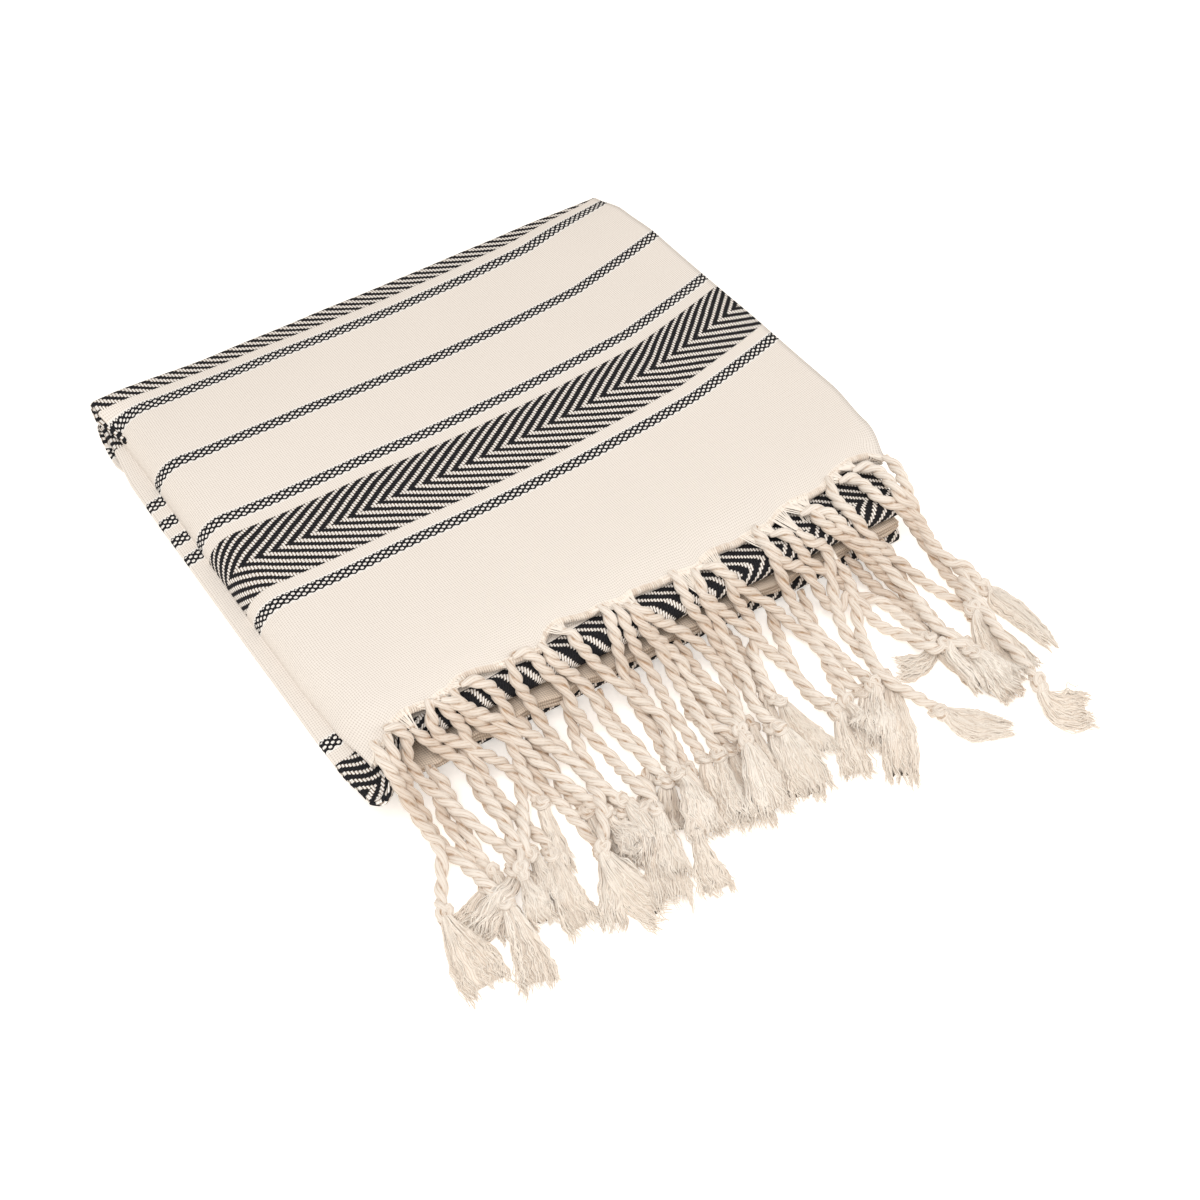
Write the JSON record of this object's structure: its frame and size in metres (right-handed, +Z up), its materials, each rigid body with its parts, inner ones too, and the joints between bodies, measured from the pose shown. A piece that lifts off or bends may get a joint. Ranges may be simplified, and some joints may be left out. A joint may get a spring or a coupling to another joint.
{
  "type": "beach towel",
  "caption": "Flat-woven striped cotton beach towel, folded in a rectangular pile with knotted tassel fringes spread in front.",
  "frame": {"origin": "middle of the underside of the whole towel, fringes included", "axes": "+X to the right along the weft and the hems, +Y to the back away from the fringes, +Z up"},
  "size_m": [0.339, 0.4422, 0.0479],
  "materials": {
    "woven_cloth": "matte ribbed cotton weave, cream with near-black chevron bands and thin check stripes",
    "fringe_yarn": "matte twisted cotton yarn, cream"
  },
  "bodies": {
    "root": {"cloth": "woven_cloth", "fringe_upper": "fringe_yarn", "fringe_lower": "fringe_yarn"}
  },
  "joints": []
}
